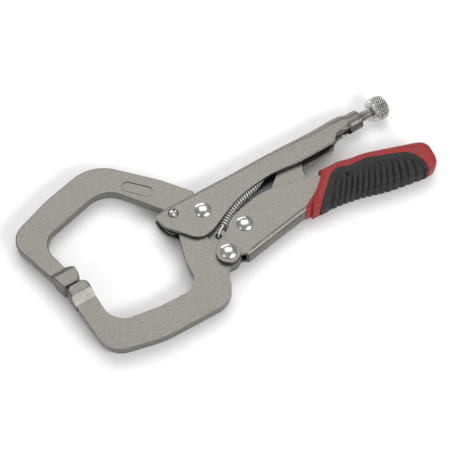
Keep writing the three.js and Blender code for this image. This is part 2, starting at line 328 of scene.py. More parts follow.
def ramp(tree, source, stops):
    """A colour ramp; stops are (place, colour)."""
    node = tree.nodes.new("ShaderNodeValToRGB")
    while len(node.color_ramp.elements) < len(stops):
        node.color_ramp.elements.new(0.5)
    for element, (place, colour) in zip(node.color_ramp.elements, stops):
        element.position = place
        element.color = (*colour, 1.0)
    tree.links.new(source, node.inputs["Fac"])
    return node


def bump(tree, shader, height, strength, distance, under=None):
    node = tree.nodes.new("ShaderNodeBump")
    node.inputs["Strength"].default_value = strength
    node.inputs["Distance"].default_value = distance
    tree.links.new(height, node.inputs["Height"])
    if under is not None:
        tree.links.new(under.outputs["Normal"], node.inputs["Normal"])
    tree.links.new(node.outputs["Normal"], shader.inputs["Normal"])
    return node


def mixed(tree, factor, first, second, blend="MIX"):
    node = tree.nodes.new("ShaderNodeMix")
    node.data_type = "RGBA"
    node.blend_type = blend
    if isinstance(factor, float):
        node.inputs["Factor"].default_value = factor
    else:
        tree.links.new(factor, node.inputs["Factor"])
    tree.links.new(first, node.inputs[6])
    tree.links.new(second, node.inputs[7])
    return node


def grey(level, warmth=0.0):
    return (level * (1 + warmth), level, level * (1 - 2.2 * warmth))


def satin_nickel():
    """Nickel plate over shot-blasted steel: a fine sandy grain and cloudy patches."""
    material, tree, shader = node_material("satin_nickel")
    shader.inputs["Metallic"].default_value = 0.82
    grain = object_noise(tree, 1500.0, 4.0, 0.7)
    clouds = object_noise(tree, 60.0, 3.0, 0.55)
    grain_colour = ramp(tree, grain.outputs["Fac"], [
        (0.3, grey(0.115, 0.05)), (0.5, grey(0.165, 0.045)), (0.68, grey(0.235, 0.04)),
    ])
    cloud_colour = ramp(tree, clouds.outputs["Fac"], [
        (0.3, grey(0.82, 0.01)), (0.7, grey(1.0, 0.0)),
    ])
    colour = mixed(tree, 1.0, grain_colour.outputs["Color"], cloud_colour.outputs["Color"], "MULTIPLY")
    tree.links.new(colour.outputs[2], shader.inputs["Base Color"])
    gloss = ramp(tree, clouds.outputs["Fac"], [(0.3, grey(0.30)), (0.7, grey(0.42))])
    tree.links.new(gloss.outputs["Color"], shader.inputs["Roughness"])
    dents = object_noise(tree, 420.0, 2.0, 0.5)
    coarse = bump(tree, shader, dents.outputs["Fac"], 0.3, 0.0003)
    bump(tree, shader, grain.outputs["Fac"], 0.45, 0.00014, under=coarse)
    return material


def polished_steel():
    """Bright plated heads: fine turned scratches and faint smudges."""
    material, tree, shader = node_material("polished_steel")
    shader.inputs["Metallic"].default_value = 1.0
    smudge = object_noise(tree, 240.0, 3.0, 0.6)
    colour = ramp(tree, smudge.outputs["Fac"], [(0.3, grey(0.42, 0.02)), (0.7, grey(0.54, 0.015))])
    tree.links.new(colour.outputs["Color"], shader.inputs["Base Color"])
    gloss = ramp(tree, smudge.outputs["Fac"], [(0.3, grey(0.2)), (0.75, grey(0.3))])
    tree.links.new(gloss.outputs["Color"], shader.inputs["Roughness"])
    fine = object_noise(tree, 1800.0, 2.0, 0.5)
    bump(tree, shader, fine.outputs["Fac"], 0.08, 0.00006)
    return material


def thread_steel():
    """Zinc-bright screw and knob, with painted shade darkening the grooves."""
    material, tree, shader = node_material("thread_steel")
    shader.inputs["Metallic"].default_value = 0.95
    smudge = object_noise(tree, 300.0, 3.0, 0.6)
    plating = ramp(tree, smudge.outputs["Fac"], [(0.3, grey(0.54, 0.02)), (0.7, grey(0.68, 0.015))])
    # Painted shade: low pointiness at the thread roots and knurl grooves darkens them.
    crests = tree.nodes.new("ShaderNodeNewGeometry")
    groove_shade = ramp(tree, crests.outputs["Pointiness"], [(0.46, grey(0.12, 0.03)), (0.51, grey(1.0))])
    colour = mixed(tree, 1.0, plating.outputs["Color"], groove_shade.outputs["Color"], "MULTIPLY")
    tree.links.new(colour.outputs[2], shader.inputs["Base Color"])
    gloss = ramp(tree, smudge.outputs["Fac"], [(0.3, grey(0.24)), (0.75, grey(0.36))])
    tree.links.new(gloss.outputs["Color"], shader.inputs["Roughness"])
    fine = object_noise(tree, 1600.0, 2.0, 0.5)
    bump(tree, shader, fine.outputs["Fac"], 0.15, 0.00008)
    return material


def spring_wire_steel():
    """Drawn spring wire: bright, with a fine streak."""
    material, tree, shader = node_material("spring_wire")
    shader.inputs["Metallic"].default_value = 0.25
    streak = object_noise(tree, 900.0, 3.0, 0.6)
    colour = ramp(tree, streak.outputs["Fac"], [(0.3, grey(0.78, 0.01)), (0.7, grey(0.9, 0.005))])
    tree.links.new(colour.outputs["Color"], shader.inputs["Base Color"])
    gloss = ramp(tree, streak.outputs["Fac"], [(0.3, grey(0.28)), (0.75, grey(0.4))])
    tree.links.new(gloss.outputs["Color"], shader.inputs["Roughness"])
    return material


def red_sleeve_plastic():
    """Moulded red plastic: spark-eroded satin with faint flow marks."""
    material, tree, shader = node_material("red_plastic")
    shader.inputs["Specular IOR Level"].default_value = 0.3
    flow = object_noise(tree, 45.0, 3.0, 0.5)
    colour = ramp(tree, flow.outputs["Fac"], [
        (0.3, (0.225, 0.014, 0.014)), (0.7, (0.275, 0.020, 0.019)),
    ])
    tree.links.new(colour.outputs["Color"], shader.inputs["Base Color"])
    gloss = ramp(tree, flow.outputs["Fac"], [(0.3, grey(0.42)), (0.7, grey(0.52))])
    tree.links.new(gloss.outputs["Color"], shader.inputs["Roughness"])
    texture = object_noise(tree, 2600.0, 2.0, 0.6)
    bump(tree, shader, texture.outputs["Fac"], 0.2, 0.00008)
    return material


def black_overmould_rubber():
    """Soft black overmould: matt, with dust in its pores."""
    material, tree, shader = node_material("black_rubber")
    shader.inputs["Specular IOR Level"].default_value = 0.3
    dust = object_noise(tree, 110.0, 4.0, 0.6)
    colour = ramp(tree, dust.outputs["Fac"], [
        (0.3, (0.009, 0.0089, 0.0087)), (0.75, (0.017, 0.0167, 0.0162)),
    ])
    tree.links.new(colour.outputs["Color"], shader.inputs["Base Color"])
    gloss = ramp(tree, dust.outputs["Fac"], [(0.3, grey(0.50)), (0.75, grey(0.66))])
    tree.links.new(gloss.outputs["Color"], shader.inputs["Roughness"])
    pores = object_noise(tree, 2200.0, 2.0, 0.6)
    bump(tree, shader, pores.outputs["Fac"], 0.3, 0.0001)
    return material


def shaded_interior():
    """The inside of a pressed channel: painted shade, brown-black and mottled."""
    material, tree, shader = node_material("channel_interior_painted_shade")
    shader.inputs["Metallic"].default_value = 0.35
    shade_mottle = object_noise(tree, 90.0, 4.0, 0.6)
    colour = ramp(tree, shade_mottle.outputs["Fac"], [
        (0.3, (0.012, 0.010, 0.008)), (0.75, (0.05, 0.042, 0.034)),
    ])
    tree.links.new(colour.outputs["Color"], shader.inputs["Base Color"])
    gloss = ramp(tree, shade_mottle.outputs["Fac"], [(0.3, grey(0.45)), (0.7, grey(0.65))])
    tree.links.new(gloss.outputs["Color"], shader.inputs["Roughness"])
    return material


NICKEL = satin_nickel()
# Painted shade for the faces inside the channels and the tube's bore.
PAINTED_SHADE = shaded_interior()
POLISHED = polished_steel()
THREADED = thread_steel()
WIRE = spring_wire_steel()
RED = red_sleeve_plastic()
BLACK = black_overmould_rubber()


# ---------------------------------------------------------------- forged jaws
def pin_hole(centre, radius):
    return turned("hole", [(0, -BEYOND), (radius, -BEYOND), (radius, BEYOND), (0, BEYOND)], centre, 40)


def pad_block(name, corners, face, ramp_start, ramp_end):
    """A pad: full thickness at the face, then a ramp down to the arm."""
    block = plate(name, corners, PAD_HALF, edge=PAD_EDGE)
    profile = [(face, PAD_HALF), (ramp_start, PAD_HALF), (ramp_end, JAW_HALF - 0.6)]
    section = profile + [(y, -z) for y, z in reversed(profile)]
    rings = [[(x, y, z) for y, z in section] for x in (-BEYOND * 3, 0.0)]
    boolean(block, [grid_mesh("ramp", rings)], "INTERSECT")
    soften(block, 0.3, 2, 30.0)
    return block


def badge_outline(wider):
    """The obround field on the fixed jaw, left blank; it lies along the arm."""
    start, along, across = Vector((-34.6, 45.7)), Vector((0.680, -0.733)), Vector((0.733, 0.680))
    half = 3.4 + wider
    corners = []
    for place, side in ((-half, -half), (15.0 + half, -half), (15.0 + half, half), (-half, half)):
        corner = start + along * place + across * side
        corners.append((corner.x, corner.y, half - 0.05))
    return corners


def make_fixed_jaw():
    """The forged arm with its pad, its blank badge field and the ridge that its dies left."""
    arm = plate("fixed_jaw_forging", [
        (2.5, 18.2, 1.2),
        (-12, 37.8, 60),
        (-47, 75, 30),
        (-88, 65.4, 80),
        (-125.9, 51.4, 15),
        (-112.5, 5),
        (-103, 5),
        (-101.8, 11),
        (-107.8, 38, 14),
        (-49.9, 52.9, 21),
        (-22.6, 15.6, 3),
        (-25.6, 8, 4),
        (-24.4, -1, 3),
        (-21, -3.4, 1),
        *arc(MAIN_PIVOT, 11.6, 195, 92),
        (2.5, 11.6),
    ], JAW_HALF, edge=JAW_EDGE)
    pad = pad_block("pad", [
        (-113.4, 13.5, 1),
        (-112.9, 6.5, 3),
        (-111, -2.4, 3),
        (-97, -2.4, 5),
        (-96.6, 9.4, 6),
        (-102, 13.5, 1),
    ], face=-2.4, ramp_start=7.2, ramp_end=12.6)
    ridge = plate("ridge", [
        (-23.5, 14),
        (-29.4, 9.4, 1.5),
        (-28.6, 2.4, 3),
        (-26.2, -3, 2),
        (-21.8, -3.2),
        (-21.8, 6),
    ], 0.7, edge=0.35, segments=2)
    rim = plate("rim", badge_outline(1.0), JAW_HALF + 0.3, low=JAW_HALF - 0.5, edge=0.2, segments=2)
    badge = plate("badge", badge_outline(0.0), JAW_HALF + 1, low=JAW_HALF - 0.45)
    boolean(arm, [pad, ridge, rim], "UNION")
    boolean(arm, [badge, pin_hole(STAKE, SHANK_RADIUS)], "DIFFERENCE")
    soften(arm, 0.22, 2, 40.0)
    put_away(arm, "upper_body", NICKEL, "satin_nickel", "fixed_jaw", smooth=26.0)


def make_moving_jaw():
    """The forged arm that takes the main rivet, the lower handle's rivet and the spring's hook."""
    body = plate("moving_jaw_forging", [
        *arc(MAIN_PIVOT, 10.5, 215, -60),
        (4.9, -14),
        (5.4, -23, 4),
        *arc(JAW_PIVOT, 9.2, 10, -100),
        (-6.5, -46.6, 2),
        (-10.6, -51, 3),
        (-9.8, -68.4, 18),
        (-70, -67.4, 70),
        (-107, -58.4, 17),
        (-109.6, -12),
        (-94.6, -12),
        (-94.2, -41.2, 16),
        (-60, -46.6, 60),
        (-30, -47.2, 12),
        (-30.2, -29, 40),
        (-22.6, -4.6, 2),
    ], JAW_HALF, edge=JAW_EDGE)
    pad = pad_block("pad", [
        (-94.7, -18.6),
        (-94, -2.8, 5),
        (-110.2, -2.8, 4.2),
        (-110, -18.6),
    ], face=-2.8, ramp_start=-10.8, ramp_end=-17.6)
    recess_centre = (1.2, -20.0)
    recesses = [
        turned("recess", [(0, 2.2), (8.2, 2.2), (9.0, 5), (0, 5)], recess_centre),
        turned("recess", [(0, -5), (9.0, -5), (8.2, -2.2), (0, -2.2)], recess_centre),
    ]
    boolean(body, [pad], "UNION")
    holes = [
        pin_hole(MAIN_PIVOT, PIVOT_HOLE),
        pin_hole(JAW_PIVOT, PIVOT_HOLE),
        pin_hole(SPRING_HOLE, 2.4),
    ]
    boolean(body, recesses + holes, "DIFFERENCE")
    soften(body, 0.22, 2, 40.0)
    put_away(body, "jaw_body", NICKEL, "satin_nickel", "moving_jaw", smooth=26.0)


# ---------------------------------------------------------------- pressed channels
def rounded_section(half, low, high, low_round, high_round, low_tall=1.0, steps=7):
    """A loop in (y, z) with a round above and one below, which can be taller than wide."""
    loop = []
    quarter = np.linspace(0, math.pi / 2, steps)
    low_round = min(low_round, half - 1e-3, (high - low) / 2 - 1e-3)
    high_round = min(high_round, half - 1e-3, (high - low) / 2 - 1e-3)
    for a in quarter:
        loop.append((high - high_round * (1 - math.cos(a)), half - high_round * (1 - math.sin(a))))
    for a in quarter:
        rise = low_round * low_tall * (1 - math.sin(a))
        loop.append((low + rise, half - low_round * (1 - math.cos(a))))
    return loop + [(y, -z) for y, z in reversed(loop)]


def loft(name, stations):
    """A solid through sections; a station is x and what rounded_section() takes."""
    rings = []
    for x, *section in stations:
        rings.append([(x, y, z) for y, z in rounded_section(*section)])
    return grid_mesh(name, rings)


def flared_lip(bottom):
    """What the channel's rolled lip opens by, along the mouth that the link goes into."""
    rings = []
    for x in np.linspace(76, 125.5, 60):
        low = float(bottom(x))
        side = [(x, low - 1.5, 6.5), (x, low + 2.2, 4.2)]
        rings.append(side + [(x, y, -z) for x, y, z in reversed(side)])
    return grid_mesh("flare", rings)


def make_upper_handle():
    """The pressed channel that turns into a tube: its edges and rounds along X, then the cuts."""
    bottom = smooth_line([
        (HANDLE_FRONT, 8.6), (-29.6, 5.2), (-28.4, 1.8), (-24.6, -3.4), (-19.6, -10.1), (-16.6, -13.9),
        (-13.2, -16.5), (-8.4, -17.7), (-3.4, -17.2), (1.4, -15.4), (14, -9.7), (24.5, -5.5),
        (35, -2.9), (46, -1.3), (56, -0.55), (64, -1.0), (77.8, -2.6), (79.4, -2.7), (105, -2.3),
        (108.6, -1.9), (111, 0.6), (114, 2.9), (117.5, 3.4), (121, 2.6), (125, 1.5),
        (TUBE_START, TUBE_LOW), (TUBE_END, TUBE_LOW),
    ])
    top = smooth_line([
        (HANDLE_FRONT, 14.6), (-26, 14.9), (0, 15.1), (33, 15.2), (55, 15.7), (92, 15.9), (108, 16.5),
        (117, 17.0), (121, 17.0), (125.5, 16.2), (TUBE_START, TUBE_HIGH), (TUBE_END, TUBE_HIGH),
    ])
    high_round = smooth_line([
        (HANDLE_FRONT, 2.6), (60, 3.6), (85, 4.8), (100, 6.0), (112, 6.7), (122, 6.9),
        (TUBE_START, 6.99), (TUBE_END, 6.99),
    ])
    low_round = smooth_line([
        (HANDLE_FRONT, 0.35), (68, 0.35), (78, 0.6), (106, 0.6), (109, 0.6), (117, 0.9), (122, 3.2),
        (TUBE_START, 6.99), (TUBE_END, 6.99),
    ])
    low_tall = smooth_line([
        (HANDLE_FRONT, 1), (68, 1), (80, 3.6), (105, 3.6), (110, 1), (TUBE_END, 1),
    ])
    places = np.unique(np.concatenate([
        np.linspace(HANDLE_FRONT, 12, 70), np.linspace(12, 104, 60), np.linspace(104, TUBE_START, 60),
        np.array([TUBE_START + 3, TUBE_END - 0.6]),
    ]))
    shape = (bottom, top, low_round, high_round, low_tall)
    stations = [(x, CHANNEL_HALF, *(float(line(x)) for line in shape)) for x in places]
    stations.append((TUBE_END, CHANNEL_HALF - 0.5, TUBE_LOW + 0.5, TUBE_HIGH - 0.5, 6.4, 6.4))
    shell = loft("upper_handle_pressing", stations)
    narrowing = [
        (73, CHANNEL_INNER), (117, CHANNEL_INNER), (120, 4.2), (122.5, 4.0),
        (124.5, 3.0), (126, 1.7), (126.8, 0.5),
    ]
    inside = [
        plate("cavity", [
            (-BEYOND, -BEYOND),
            (90, -BEYOND),
            (90, CHANNEL_ROOF),
            (3.4, CHANNEL_ROOF),
            (3.4, BEYOND),
            (-BEYOND, BEYOND),
        ], CHANNEL_INNER),
        loft("cavity", [(x, half, -BEYOND, CHANNEL_ROOF, 0.1, 0.1) for x, half in narrowing]),
        turned("bore", [
            (0, 105),
            (TUBE_BORE, 105),
            (TUBE_BORE, 145),
            (0, 145),
        ], (0, SCREW_Y), 48, along_x=True),
    ]
    # The cavity and bore faces get the painted shade.
    boolean(shell, inside, "DIFFERENCE", PAINTED_SHADE)
    boolean(shell, [flared_lip(bottom)], "DIFFERENCE")
    boolean(shell, [pin_hole(MAIN_PIVOT, PIVOT_HOLE)], "DIFFERENCE")
    countersinks = [
        turned("dish", [(0, 3.8), (2.6, 3.8), (3.7, 7.01), (3.7, 9), (0, 9)], STAKE, 40),
        turned("dish", [(0, -9), (3.7, -9), (3.7, -7.01), (2.6, -3.8), (0, -3.8)], STAKE, 40),
    ]
    boolean(shell, countersinks, "DIFFERENCE")
    tab = plate("tab", [
        (59.5, 9, 0.5),
        (61, 9, 0.5),
        (61, 14.6),
        (59.5, 14.6),
    ], 2, edge=0.2, segments=2)
    boolean(shell, [tab], "UNION")
    soften(shell, 0.3, 2, 40.0)
    put_away(shell, "upper_body", NICKEL, "satin_nickel", "upper_handle")


def outside_channel(place):
    return abs(place.z) > CHANNEL_HALF


def make_lower_handle():
    """The channel that opens upwards, with raised ears round the jaw's rivet."""
    upper_edge = smooth_line([
        (4, -23), (8, -19.9), (12, -16.9), (15.5, -15.0), (20, -13.7), (30, -11.5), (38, -10.2),
        (44.5, -9.9), (51, -10.7), (60, -12.8), (82, -18.7), (110, -26.3), (150, -37.2),
    ])
    web_line = smooth_line([
        (4, -47.6), (8.6, -47.1), (22, -44.9), (47, -40.9), (60, -39.0), (70, -38.2), (82, -38.6),
        (96, -40.0), (112, -43.6), (126, -47.2), (150, -50.2),
    ])
    places = np.concatenate([np.linspace(8.6, 30, 24), np.linspace(31, 150, 70)])
    stations = [
        (x, CHANNEL_HALF, float(web_line(x)), float(upper_edge(x)), 4.6, 0.35) for x in places
    ]
    shell = loft("lower_handle_pressing", stations)
    front = plate("front", [
        (1.5, -25.1, 0.8),
        *arc(JAW_PIVOT, 8.6, 119, 315),
        (7.2, -43.7, 0.5),
        (9.2, -45.2),
        (12.5, -43),
        (12.5, -17.1),
    ], CHANNEL_HALF, edge=0.4, where=lambda p: p.x < 8.4, segments=2)
    boolean(shell, [front], "UNION")
    cavity = plate("cavity", [
        (-BEYOND, -2 * BEYOND),
        (8, -2 * BEYOND),
        (8, -44.4),
        (60, -36.2, 60),
        (96, -37.2, 40),
        (126, -44.6, 40),
        (160, -48.6),
        (160, BEYOND),
        (-BEYOND, BEYOND),
    ], CHANNEL_INNER)
    # The cavity faces get the painted shade.
    boolean(shell, [cavity], "DIFFERENCE", PAINTED_SHADE)
    crease = [
        (1.5, -25.1, 0.9),
        *arc(JAW_PIVOT, 8.6, 119, 322),
        (6.3, -41.3, 0.4),
    ]
    inner, outer = CHANNEL_HALF - 0.4, CHANNEL_HALF + EAR_RAISED
    for low, high in ((inner, outer), (-outer, -inner)):
        ear = plate("ear", crease, high, edge=0.3, low=low, segments=3, where=outside_channel)
        boolean(shell, [ear], "UNION")
    boolean(shell, [pin_hole(JAW_PIVOT, PIVOT_HOLE), pin_hole(LINK_PIVOT, PIVOT_HOLE)], "DIFFERENCE")
    soften(shell, 0.25, 2, 42.0)
    put_away(shell, "handle_body", NICKEL, "satin_nickel", "lower_handle")


def make_link():
    link = plate("toggle_link_plate", [
        *arc(LINK_PIVOT, 7, 115, 290),
        (62, -24.5, 12),
        (77, -18, 4),
        (77.6, -8.5, 10),
        (82.4, 1.5, 3),
        *arc(LINK_END, 4.6, 0, 115),
        (50, -9, 20),
    ], LINK_HALF, edge=0.5, segments=3)
    boolean(link, [pin_hole(LINK_PIVOT, PIVOT_HOLE)], "DIFFERENCE")
    put_away(link, "link_body", NICKEL, "satin_nickel", "toggle_link")


# ---------------------------------------------------------------- rivets, pin, spring
def make_rivet(name, centre, body, node, under=CHANNEL_HALF):
    """A shank with a domed head at each end; under is where the heads start."""
    radius, height = RIVET_RADIUS, RIVET_HEIGHT
    crown = (radius**2 + height**2) / (2 * height)
    limit = math.asin(radius / crown)
    dome = [(radius - 0.35, under), (radius, under + 0.25), (radius, under + 0.4)]
    for i in range(1, 19):
        a = limit * (1 - i / 18)
        drop = crown * (1 - math.cos(a))
        dome.append((crown * math.sin(a) * 0.985, under + 0.4 + (height - 0.4) * (1 - drop / height)))
    below = [(r, -z) for r, z in reversed(dome)]
    shank = [(SHANK_RADIUS, -under), (SHANK_RADIUS, under)]
    rivet = turned(name, below + shank + dome, centre, 72)
    put_away(rivet, body, POLISHED, "polished_steel", node, smooth=50.0)


def make_staking_pin():
    """The pin's punched end: a dish with a bright burr across it."""
    dish = [(0, 5.0), (0.6, 4.9), (2.4, 5.7), (3.1, 6.35), (3.25, 6.2)]
    profile = [(r, -z) for r, z in dish] + [(3.25, 0)] + list(reversed(dish))
    pin = turned("staking_pin_body", profile, STAKE, 48)
    for low, high in ((4.7, 6.5), (-6.5, -4.7)):
        burr = plate("burr", [
            (STAKE[0] - 0.5, STAKE[1] - 2.6, 0.3),
            (STAKE[0] + 0.3, STAKE[1] - 2.6, 0.3),
            (STAKE[0] + 0.7, STAKE[1] + 2.5, 0.3),
            (STAKE[0] - 0.1, STAKE[1] + 2.5, 0.3),
        ], high, low=low, edge=0.25, segments=2)
        boolean(pin, [burr], "UNION")
    put_away(pin, "upper_body", POLISHED, "polished_steel", "jaw_staking_pin", smooth=45.0)


def spring_path():
    """The wire's centre line: a hook in the jaw, the coil on a bowed line, a hook on the tab."""
    per_turn, middle = 24, 1.0
    knots = [Vector(p) for p in ((6.6, -16.4), (14.9, -10.7), (26, -5.2), (42, -0.1), (54.5, 7))]
    samples = []
    for i in range(400):
        t = i / 399 * (len(knots) - 1)
        k = min(int(t), len(knots) - 2)
        samples.append(catmull(knots, k, t - k))
    steps = [0.0]
    for a, b in zip(samples, samples[1:]):
        steps.append(steps[-1] + (b - a).length)

    def on_line(distance):
        x = np.interp(distance, steps, [p.x for p in samples])
        y = np.interp(distance, steps, [p.y for p in samples])
        return x, y

    path = [
        Vector((-0.9, -21.6, -1.2)), Vector((-0.8, -21.5, 1.6)), Vector((0.6, -20.4, 3.3)),
        Vector((3.2, -18.1, 3.0)),
    ]
    for i in range(COIL_TURNS * per_turn + 1):
        distance = steps[-1] * i / (COIL_TURNS * per_turn)
        x, y = on_line(distance)
        x_before, y_before = on_line(distance - 0.5)
        x_after, y_after = on_line(distance + 0.5)
        across = Vector((y_before - y_after, x_after - x_before)).normalized()
        angle = 2 * math.pi * i / per_turn
        path.append(Vector((
            x + across.x * COIL_RADIUS * math.sin(angle),
            y + across.y * COIL_RADIUS * math.sin(angle),
            middle + COIL_RADIUS * math.cos(angle),
        )))
    return path + [Vector((57.6, 7.6, 1.4)), Vector((60.3, 7.7, 0)), Vector((62.1, 9.6, 0))]


def catmull(knots, k, t):
    """A point on the Catmull-Rom curve, at t of the way from knot k to the next."""
    before = knots[max(k - 1, 0)]
    after = knots[min(k + 2, len(knots) - 1)]
    a, b = knots[k], knots[k + 1]
    return 0.5 * (2 * a + (b - before) * t + (2 * before - 5 * a + 4 * b - after) * t**2
                  + (3 * a - before - 3 * b + after) * t**3)


def tube_along(name, path, radius, sides=10):
    """A closed round wire along a path, with frames carried along it so that it never twists."""
    rings = []
    normal = None
    for i, here in enumerate(path):
        along = (path[min(i + 1, len(path) - 1)] - path[max(i - 1, 0)]).normalized()
        if normal is None:
            normal = along.orthogonal().normalized()
        normal = (normal - along * normal.dot(along)).normalized()
        other = along.cross(normal)
        ring = []
        for k in range(sides):
            a = 2 * math.pi * k / sides
            ring.append(here + normal * radius * math.cos(a) + other * radius * math.sin(a))
        rings.append([tuple(p) for p in ring])
    return grid_mesh(name, rings)


def make_spring():
    spring = tube_along("tension_spring_wire", spring_path(), WIRE_RADIUS)
    place(spring, WIRE, "spring_steel", "tension_spring", smooth=180.0)
    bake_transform(spring)


# ---------------------------------------------------------------- screw and knob
def zigzag(t):
    """0 at whole numbers, 1 half way between."""
    return 1 - np.abs(2 * (t - np.floor(t)) - 1)


def ring_on_screw(angles, radius, x):
    """A ring round the screw's axis; the radius is one number, or one for each angle."""
    return np.stack([
        np.full(len(angles), x),
        SCREW_Y + radius * np.cos(angles),
        radius * np.sin(angles),
    ], axis=1)


def make_screw():
    """A rolled M8 thread as a helical surface, with its crests and roots flattened."""
    around, per_pitch, lead_in = 48, 10, 3.2
    count = int((SCREW_END - SCREW_TIP) / PITCH * per_pitch)
    angles = np.linspace(0, 2 * math.pi, around, endpoint=False)
    rings = [ring_on_screw(angles, 0.0, SCREW_TIP)]
    for i in range(count + 1):
        x = SCREW_TIP + (SCREW_END - SCREW_TIP) * i / count
        depth = np.clip(zigzag(x / PITCH - angles / (2 * math.pi)) * 1.25 - 0.12, 0, 1)
        nose = 3.0 * (1 - min(1.0, (x - SCREW_TIP) / lead_in)) ** 2
        cut = THREAD_DEPTH * depth if nose < 0.3 else 0 * depth
        rings.append(ring_on_screw(angles, THREAD_RADIUS - cut - nose, x))
    rings.append(ring_on_screw(angles, 0.0, SCREW_END))
    screw = grid_mesh("adjusting_screw_thread", rings, caps=False)
    put_away(screw, "screw_body", THREADED, "polished_steel", "adjusting_screw", smooth=80.0)


def make_knob():
    """A turned knob: a smooth front shoulder, and a diamond knurl that runs over the domed end."""
    around = 360
    angles = np.linspace(0, 2 * math.pi, around, endpoint=False)
    length = KNOB_END - KNOB_START
    socket = length - 5.0
    front = [
        (0.0, socket), (4.3, socket), (4.3, 0.3), (4.6, 0.0), (6.4, 0.0),
        (7.3, 0.25), (8.0, 0.8), (8.5, 1.6), (8.6, 2.2),
    ]
    rings = [ring_on_screw(angles, radius, KNOB_START + x) for radius, x in front]
    knurl_start, dome, dome_drop, knurl_depth = 2.4, 4.2, 3.4, 0.85
    lead = 2 * math.pi * KNOB_RADIUS / KNURLS
    turn = angles * KNURLS / (2 * math.pi)
    side = np.linspace(knurl_start, length - 1.5, 40)
    end = np.linspace(length - 1.4, length - 0.02, 12)
    for x in np.concatenate([side, end]):
        into_dome = np.clip((x - length + dome) / dome, 0, 1)
        body = KNOB_RADIUS - dome_drop * (1 - math.sqrt(1 - into_dome**2))
        groove = np.maximum(1 - zigzag(turn + x / lead) * 1.6, 1 - zigzag(turn - x / lead) * 1.6)
        fade = min(1.0, (x - knurl_start) / 0.4 + 0.2, (length - x) / 0.5)
        radius = body - 0.05 - knurl_depth * np.clip(groove, 0, 1) * fade
        rings.append(ring_on_screw(angles, radius, KNOB_START + x))
    for radius in (4.6, 2.4, 0.0):
        rings.append(ring_on_screw(angles, radius, KNOB_END))
    knob = grid_mesh("adjusting_knob_turned", rings, caps=False)
    put_away(knob, "knob_body", THREADED, "polished_steel", "adjusting_knob", smooth=55.0)


# ---------------------------------------------------------------- grip
GRIP_TOP = smooth_line([
    (60, -14.8), (85, -14.8), (90, -15.1), (94.1, -15.4), (100.6, -15.4), (106, -16.8),
    (111.4, -18.1), (119.2, -19.2), (133.4, -23.6), (145.6, -27.8), (157.9, -32.0), (166, -34.6),
])
GRIP_BOTTOM = smooth_line([
    (60, -41.6), (66, -41.7), (75, -41.4), (80, -41.5), (90, -42.5), (104.3, -45.4),
    (123.5, -50.9), (144.3, -54.4), (154, -55.9), (166, -57.4),
])
# The front and the back end of the grip, from its lower edge at -1 to its upper edge at 1.
grip_front = smooth_line([
    (-1, 64.2), (-0.8, 65.4), (-0.2, 72.7), (0.2, 79.0), (0.5, 83.2), (0.8, 85.6), (1, 86.2),
])
grip_back = smooth_line([
    (-1, 157.5), (-0.85, 161), (-0.5, 162.8), (0, 163.8), (0.45, 164.2), (0.75, 163.3),
    (0.9, 161.5), (1, 158.5),
])
SECTION_POWER = 3.6  # of the superellipse that the grip's section follows


def make_grip_sleeve():
    """The red sleeve: a stepped collar in front, a plain length, and a rounded end."""
    around = 160
    angles = np.linspace(0, 2 * math.pi, around, endpoint=False)
    s, c = np.sin(angles), np.cos(angles)
    v = np.sign(s) * np.abs(s) ** (2 / SECTION_POWER)
    w = np.sign(c) * np.abs(c) ** (2 / SECTION_POWER)
    rings = []
    collar = 4.0 * np.clip((-v - 0.1) / 0.5, 0, 1)
    for ahead, height, width in ((-4, 0.72, 0.70), (1, 0.76, 0.735), (1, 0.83, 0.80), (-1, 0.86, 0.83)):
        x = grip_front(v) - np.where(ahead > 0, collar, 0) + (0.3 if ahead < 0 else 0)
        rings.append(sleeve_ring(x, v * height, w * width))
    rings.append(sleeve_ring(grip_front(v), v * 0.975, w * 0.965))
    for t in np.concatenate([np.linspace(0.006, 0.06, 8), np.linspace(0.075, 0.93, 80)]):
        x = grip_front(v) + t * (grip_back(v) - grip_front(v))
        lip = 0.35 * math.exp(-(((t - 0.012) / 0.012) ** 2))
        waist = -0.35 * math.exp(-(((t - 0.05) / 0.02) ** 2))
        rings.append(sleeve_ring(x, v, w * (1 + (lip + waist) / GRIP_HALF)))
    for turn in np.linspace(0.1, math.pi / 2, 12):
        t = 0.93 + 0.07 * math.sin(turn) ** 0.6
        shrink = max(math.cos(turn), 0.0) ** 0.6
        x = grip_front(v) + t * (grip_back(v * shrink) - grip_front(v))
        rings.append(sleeve_ring(x, v * shrink, w * shrink))
    sleeve = grid_mesh("grip_sleeve_red", rings)
    put_away(sleeve, "handle_body", RED, "red_plastic", "grip_sleeve", smooth=50.0)


PANEL_TOP = smooth_line([
    (70, -42.0), (76.4, -35.9), (82.7, -30.5), (87.7, -25.9), (92.0, -22.9), (97.6, -21.7),
    (103.6, -23.9), (109, -24.8), (117.6, -25.4), (128.5, -29.4), (140.5, -34.2), (147.0, -38.2),
    (150.8, -44.5), (152.3, -51), (152.8, -57),
])
RIB_LEAN = smooth_line([(70, 1.0), (95, 0.9), (115, 0.72), (135, 0.4), (150, 0.1)])
PANEL_START = 70.4
PANEL_END = 152.6
PANEL_SUNK = 1.3  # how deep the sleeve is hollowed under the panel
RIB_PITCH = 5.05
BORDER = 6.1  # the smooth margin round the ribs
BORDER_GROOVE = 5.6


def sleeve_ring(x, v, w):
    """One ring of the sleeve, sunk under the panel where the overmould is seated."""
    middle = (GRIP_TOP(x) + GRIP_BOTTOM(x)) / 2
    half = (GRIP_TOP(x) - GRIP_BOTTOM(x)) / 2
    y = middle + v * half
    depth = np.minimum(PANEL_TOP(x) - y, np.minimum(x - PANEL_START, PANEL_END - x))
    sunk = PANEL_SUNK * np.clip((depth - 0.4) / 0.5, 0, 1)
    normal_y, normal_z = grip_normal(v, w, half)
    return np.stack([x, y - sunk * normal_y, w * GRIP_HALF - sunk * normal_z], axis=1)


